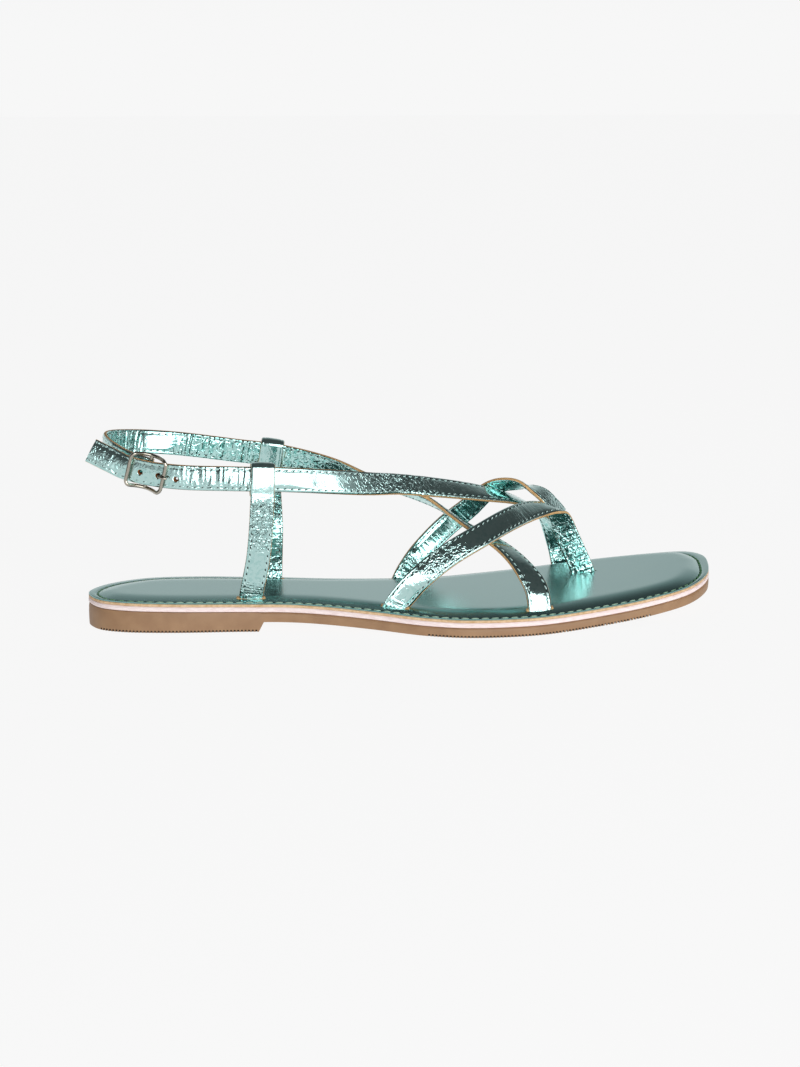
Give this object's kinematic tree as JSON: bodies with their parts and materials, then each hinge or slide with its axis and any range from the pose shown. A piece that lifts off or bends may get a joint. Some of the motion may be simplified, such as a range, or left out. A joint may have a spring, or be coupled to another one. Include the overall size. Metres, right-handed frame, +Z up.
{
  "type": "toe post sandal",
  "caption": "Flat toe post sandal for a right foot: crossed metallic teal straps, ankle strap with a silver buckle, padded insole, pale rand and brown rubber sole.",
  "frame": {"origin": "middle of the sole's footprint box, on the floor", "axes": "+X from heel to toe, +Y to the inner side of the right foot, +Z up"},
  "size_m": [0.2564, 0.0916, 0.0769],
  "materials": {
    "rubber_brown": "matte tan-brown rubber",
    "rand_pale": "matte pale pink-white",
    "leather_tan": "raw tan edge",
    "leather_teal": "metallic teal foil, crinkled, glossy",
    "sock_teal": "smooth metallic teal foil over padding",
    "metal_silver": "polished nickel"
  },
  "bodies": {
    "root": {"outsole": "rubber_brown", "midsole_rand": "rand_pale", "insole_board": "leather_tan", "insole": "sock_teal", "upper_straps": "leather_teal", "outer_stay": "leather_teal", "inner_stay": "leather_teal", "buckle_frame": "metal_silver", "buckle_prong": "metal_silver"}
  },
  "joints": []
}
